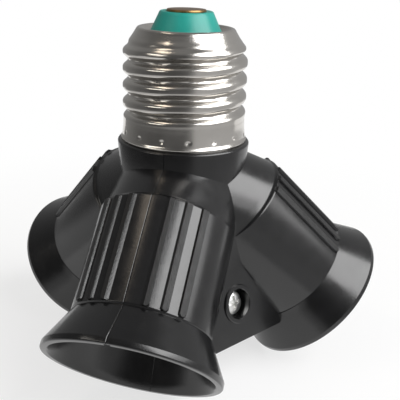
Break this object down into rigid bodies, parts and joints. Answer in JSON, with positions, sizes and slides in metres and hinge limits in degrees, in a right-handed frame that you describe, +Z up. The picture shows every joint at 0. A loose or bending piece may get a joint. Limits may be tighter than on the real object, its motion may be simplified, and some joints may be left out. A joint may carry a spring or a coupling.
{
  "type": "lamp socket adapter",
  "caption": "Black moulded adapter with a screw cap on top that splits one lamp holder into flared, tilted bulb sockets joined by webs with sunk screws.",
  "frame": {"origin": "on the upright axis, where the screw cap stands on the collar", "axes": "+Z up along the screw cap, out of its contact; -Y towards the first socket"},
  "size_m": [0.0862, 0.0797, 0.0795],
  "materials": {
    "black_plastic": "satin moulded",
    "nickel": "bright nickel plate",
    "bright_steel": "zinc plate",
    "brass": "plain",
    "green_plastic": "satin",
    "white_plastic": "matt"
  },
  "bodies": {
    "root": {"screw_cap": "nickel", "cap_insulator": "green_plastic", "cap_contact": "brass", "body_shell_1": "black_plastic", "body_shell_2": "black_plastic", "body_shell_3": "black_plastic", "shell_screws": "bright_steel", "screw_block": "black_plastic", "socket_liner_1": "nickel", "socket_liner_2": "nickel", "socket_liner_3": "nickel", "contact_base_1": "white_plastic", "contact_base_2": "white_plastic", "contact_base_3": "white_plastic", "contact_tongue_1": "brass", "contact_tongue_2": "brass", "contact_tongue_3": "brass", "live_bridge": "brass", "neutral_strip_1": "brass", "neutral_strip_2": "brass", "neutral_strip_3": "brass"}
  },
  "joints": []
}
